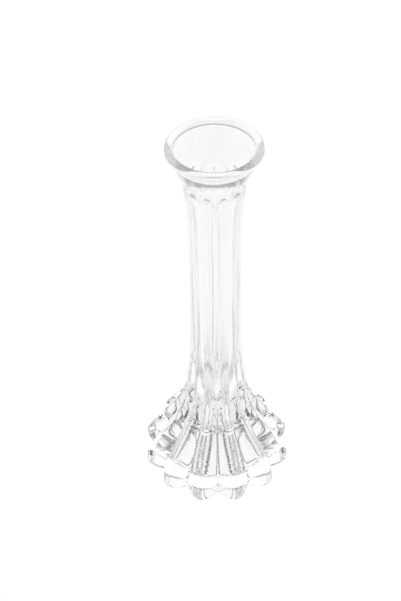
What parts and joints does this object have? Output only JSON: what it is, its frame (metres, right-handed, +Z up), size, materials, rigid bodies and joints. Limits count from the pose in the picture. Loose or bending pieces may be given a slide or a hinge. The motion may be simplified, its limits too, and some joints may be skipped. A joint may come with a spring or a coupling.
{
  "type": "glass bud vase",
  "caption": "Tall slim clear glass bud vase: rounded rim, flared neck, reeded stem, and a thick foot of rounded petals; holds one or a few stems in water.",
  "frame": {"origin": "centre of the foot, on the plane that the vase stands on", "axes": "+Z up along the vase's axis; -Y is the front, where a valley between two petals faces; +X to the right"},
  "size_m": [0.0844, 0.0844, 0.229],
  "materials": {
    "clear_glass": "clear colourless soda-lime glass, fire-polished"
  },
  "bodies": {
    "root": {"rim_bead": "clear_glass", "flared_neck": "clear_glass", "fluted_stem": "clear_glass", "petal_foot": "clear_glass", "thick_base": "clear_glass"}
  },
  "joints": []
}
